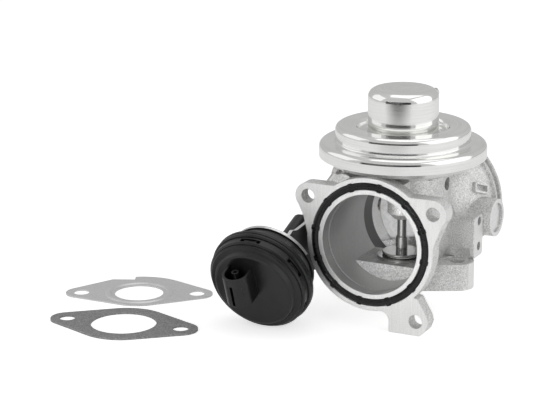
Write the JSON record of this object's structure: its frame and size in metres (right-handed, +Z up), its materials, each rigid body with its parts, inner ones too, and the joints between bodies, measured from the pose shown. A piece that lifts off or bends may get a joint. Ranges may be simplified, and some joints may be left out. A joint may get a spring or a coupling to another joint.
{
  "type": "egr valve",
  "caption": "Vacuum-operated exhaust gas recirculation valve in a cast intake body, with a throttle flap worked by a side capsule, and its loose flange gaskets.",
  "frame": {"origin": "centre of the manifold bore on the front flange face", "axes": "+Y into the body along the air path, towards the inlet; +Z up along the valve stem, towards the vacuum can; +X to the right seen from the manifold"},
  "size_m": [0.2338, 0.173, 0.129],
  "materials": {
    "cast_alloy": "shot-blasted casting, machined faces",
    "rubber": "matt black",
    "seat_steel": "turned",
    "valve_steel": "ground",
    "bronze": "sintered bronze",
    "pressed_steel": "bright zinc plate",
    "zinc_steel": "zinc plated",
    "spring_steel": "oiled wire",
    "flap_alloy": "satin sheet",
    "black_plastic": "moulded, glass-filled",
    "painted_steel": "black coat, bare edges",
    "fibre": "graphite-faced fibre sheet",
    "gasket_steel": "embossed sheet"
  },
  "bodies": {
    "housing": {"body": "cast_alloy", "manifold_seal": "rubber", "seat_ring": "seat_steel", "stem_bush": "bronze", "stem_seal": "rubber", "can_upper": "pressed_steel", "can_lower": "pressed_steel", "can_screws": "zinc_steel", "can_diaphragm": "rubber", "can_spring": "spring_steel", "can_nipple": "zinc_steel", "shaft_bushes": "bronze", "shaft_seal": "rubber", "shaft_plug": "pressed_steel", "lever_washer": "zinc_steel", "capsule_cover": "black_plastic", "clamp_ring": "black_plastic", "capsule_housing": "black_plastic", "capsule_screws": "zinc_steel", "rod_bush": "bronze", "capsule_diaphragm": "rubber", "capsule_spring": "spring_steel", "bracket": "painted_steel", "bracket_bolts": "zinc_steel", "fibre_gasket": "fibre", "steel_gasket": "gasket_steel"},
    "valve": {"poppet_valve": "valve_steel", "diaphragm_plates": "zinc_steel", "stem_nut": "zinc_steel"},
    "throttle": {"throttle_shaft": "valve_steel", "throttle_flap": "flap_alloy", "flap_screws": "zinc_steel", "throttle_lever": "zinc_steel", "lever_nut": "zinc_steel"},
    "rod": {"pull_rod": "zinc_steel", "capsule_piston": "black_plastic"}
  },
  "joints": [
    {"name": "valve_lift", "type": "slide", "parent": "housing", "child": "valve", "axis": [0, 0, 1], "range_m": [0, 0.0055], "stiffness_N_per_m": 1500, "springref_m": -0.008, "deforming": ["can_spring", "can_diaphragm"]},
    {"name": "throttle_turn", "type": "hinge", "parent": "housing", "child": "throttle", "pos_m": [0, 0.075, 0.002], "axis": [1, 0, 0], "range_deg": [0, 70]},
    {"name": "rod_slide", "type": "slide", "parent": "housing", "child": "rod", "axis": [0, -0.9367, -0.3502], "range_m": [0, 0.01583], "stiffness_N_per_m": 600, "springref_m": -0.01, "deforming": ["capsule_spring", "capsule_diaphragm"]}
  ],
  "couplings": [
    {"joint": "throttle_turn", "follows": "rod_slide", "rad_per_m": 77.175}
  ]
}
